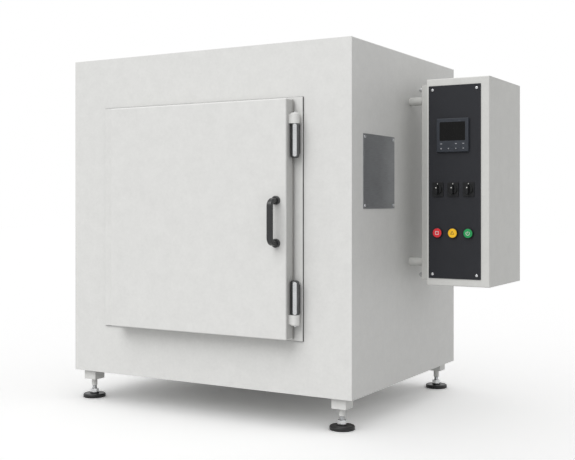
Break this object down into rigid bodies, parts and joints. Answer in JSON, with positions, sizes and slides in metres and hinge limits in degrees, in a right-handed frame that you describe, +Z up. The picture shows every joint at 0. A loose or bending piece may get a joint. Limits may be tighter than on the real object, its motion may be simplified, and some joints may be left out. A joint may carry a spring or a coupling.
{
  "type": "drying cabinet",
  "caption": "Insulated floor-standing drying cabinet with a hinged door, side-mounted control box and levelling feet.",
  "frame": {"origin": "on the floor, under the middle of the overall box", "axes": "+Z up, +X to the right as the door is faced, +Y from the door to the rear"},
  "size_m": [1.293, 1.012, 1.09],
  "materials": {
    "cabinet_paint": "fine-textured light grey powder coat",
    "box_paint": "fine-textured grey powder coat",
    "stainless": "brushed stainless sheet",
    "satin_plate": "satin stainless plate",
    "zinc_sheet": "zinc-plated sheet steel",
    "bright_wire": "bright plated steel",
    "hinge_steel": "polished bare steel",
    "heater_sheath": "heat-darkened steel sheath",
    "foot_chrome": "polished chrome",
    "foot_rubber": "black moulded rubber",
    "silicone": "dark silicone rubber",
    "mineral_wool": "mineral wool slab",
    "motor_casting": "cast aluminium",
    "handle_plastic": "black glass-filled polyamide",
    "black_plastic": "black moulded plastic",
    "grey_plastic": "grey moulded plastic",
    "panel_black": "black satin panel",
    "controller_plastic": "dark grey moulded plastic",
    "screen_glass": "smooth dark display window",
    "red_plastic": "red moulded plastic",
    "yellow_plastic": "yellow moulded plastic",
    "green_plastic": "green moulded plastic"
  },
  "bodies": {
    "cabinet": {"outer_shell": "cabinet_paint", "front_panel": "cabinet_paint", "rear_panel": "cabinet_paint", "base_plate": "cabinet_paint", "chamber_supports": "zinc_sheet", "chamber_liner": "stainless", "insulation_jacket": "mineral_wool", "air_baffle": "stainless", "shelf_racks": "stainless", "wire_shelves": "bright_wire", "heaters": "heater_sheath", "temperature_probe": "bright_wire", "fan_motor": "motor_casting", "motor_mount": "zinc_sheet", "motor_cover": "cabinet_paint", "exhaust_spigot": "stainless", "cover_screws": "bright_wire", "door_frame_plate": "cabinet_paint", "hinge_barrels": "hinge_steel", "catch_magnets": "black_plastic", "foot_blocks": "cabinet_paint", "foot_stems": "foot_chrome", "foot_nuts": "foot_chrome", "foot_pads": "foot_rubber", "side_cover_plate": "satin_plate", "support_tubes": "box_paint", "mounting_rail": "box_paint", "rail_bolts": "bright_wire", "control_housing": "box_paint", "control_back_cover": "box_paint", "control_panel": "panel_black", "controller": "controller_plastic", "controller_screen": "screen_glass", "controller_keypad": "controller_plastic", "switch_plates": "black_plastic", "switch_bodies": "grey_plastic", "button_bezels": "black_plastic", "contact_blocks": "grey_plastic", "gear_plate": "zinc_sheet", "switchgear": "grey_plastic", "cable_gland": "black_plastic"},
    "fan": {"fan_impeller": "zinc_sheet", "fan_shaft": "bright_wire"},
    "damper": {"damper_flap": "stainless", "damper_knob": "black_plastic"},
    "door": {"door_skin": "cabinet_paint", "door_back_pan": "stainless", "door_insulation": "mineral_wool", "door_seal": "silicone", "hinge_knuckles": "cabinet_paint", "hinge_pins": "bright_wire", "catch_strikes": "zinc_sheet", "door_handle": "handle_plastic", "handle_bolts": "bright_wire"},
    "switch_knob_left": {"switch_knob_left": "black_plastic"},
    "switch_knob_middle": {"switch_knob_middle": "black_plastic"},
    "switch_knob_right": {"switch_knob_right": "black_plastic"},
    "stop_button": {"stop_button": "red_plastic"},
    "pause_button": {"pause_button": "yellow_plastic"},
    "start_button": {"start_button": "green_plastic"}
  },
  "joints": [
    {"name": "door_hinge", "type": "hinge", "parent": "cabinet", "child": "door", "pos_m": [0.1935, -0.436, 0.587], "axis": [0, 0, 1], "range_deg": [0, 120]},
    {"name": "fan_spin", "type": "hinge", "parent": "cabinet", "child": "fan", "pos_m": [-0.135, 0.137, 0.587], "axis": [0, 1, 0], "continuous": true},
    {"name": "damper_turn", "type": "hinge", "parent": "cabinet", "child": "damper", "pos_m": [-0.335, 0.394, 0.825], "axis": [0, 0, 1], "range_deg": [0, 90]},
    {"name": "switch_knob_left_turn", "type": "hinge", "parent": "cabinet", "child": "switch_knob_left", "pos_m": [0.4915, -0.113, 0.6715], "axis": [0, 1, 0], "range_deg": [0, 90]},
    {"name": "switch_knob_middle_turn", "type": "hinge", "parent": "cabinet", "child": "switch_knob_middle", "pos_m": [0.5385, -0.113, 0.6715], "axis": [0, 1, 0], "range_deg": [0, 90]},
    {"name": "switch_knob_right_turn", "type": "hinge", "parent": "cabinet", "child": "switch_knob_right", "pos_m": [0.5855, -0.113, 0.6715], "axis": [0, 1, 0], "range_deg": [0, 90]},
    {"name": "stop_button_press", "type": "slide", "parent": "cabinet", "child": "stop_button", "axis": [0, 1, 0], "range_m": [0, 0.003], "stiffness_N_per_m": 800},
    {"name": "pause_button_press", "type": "slide", "parent": "cabinet", "child": "pause_button", "axis": [0, 1, 0], "range_m": [0, 0.003], "stiffness_N_per_m": 800},
    {"name": "start_button_press", "type": "slide", "parent": "cabinet", "child": "start_button", "axis": [0, 1, 0], "range_m": [0, 0.003], "stiffness_N_per_m": 800}
  ]
}
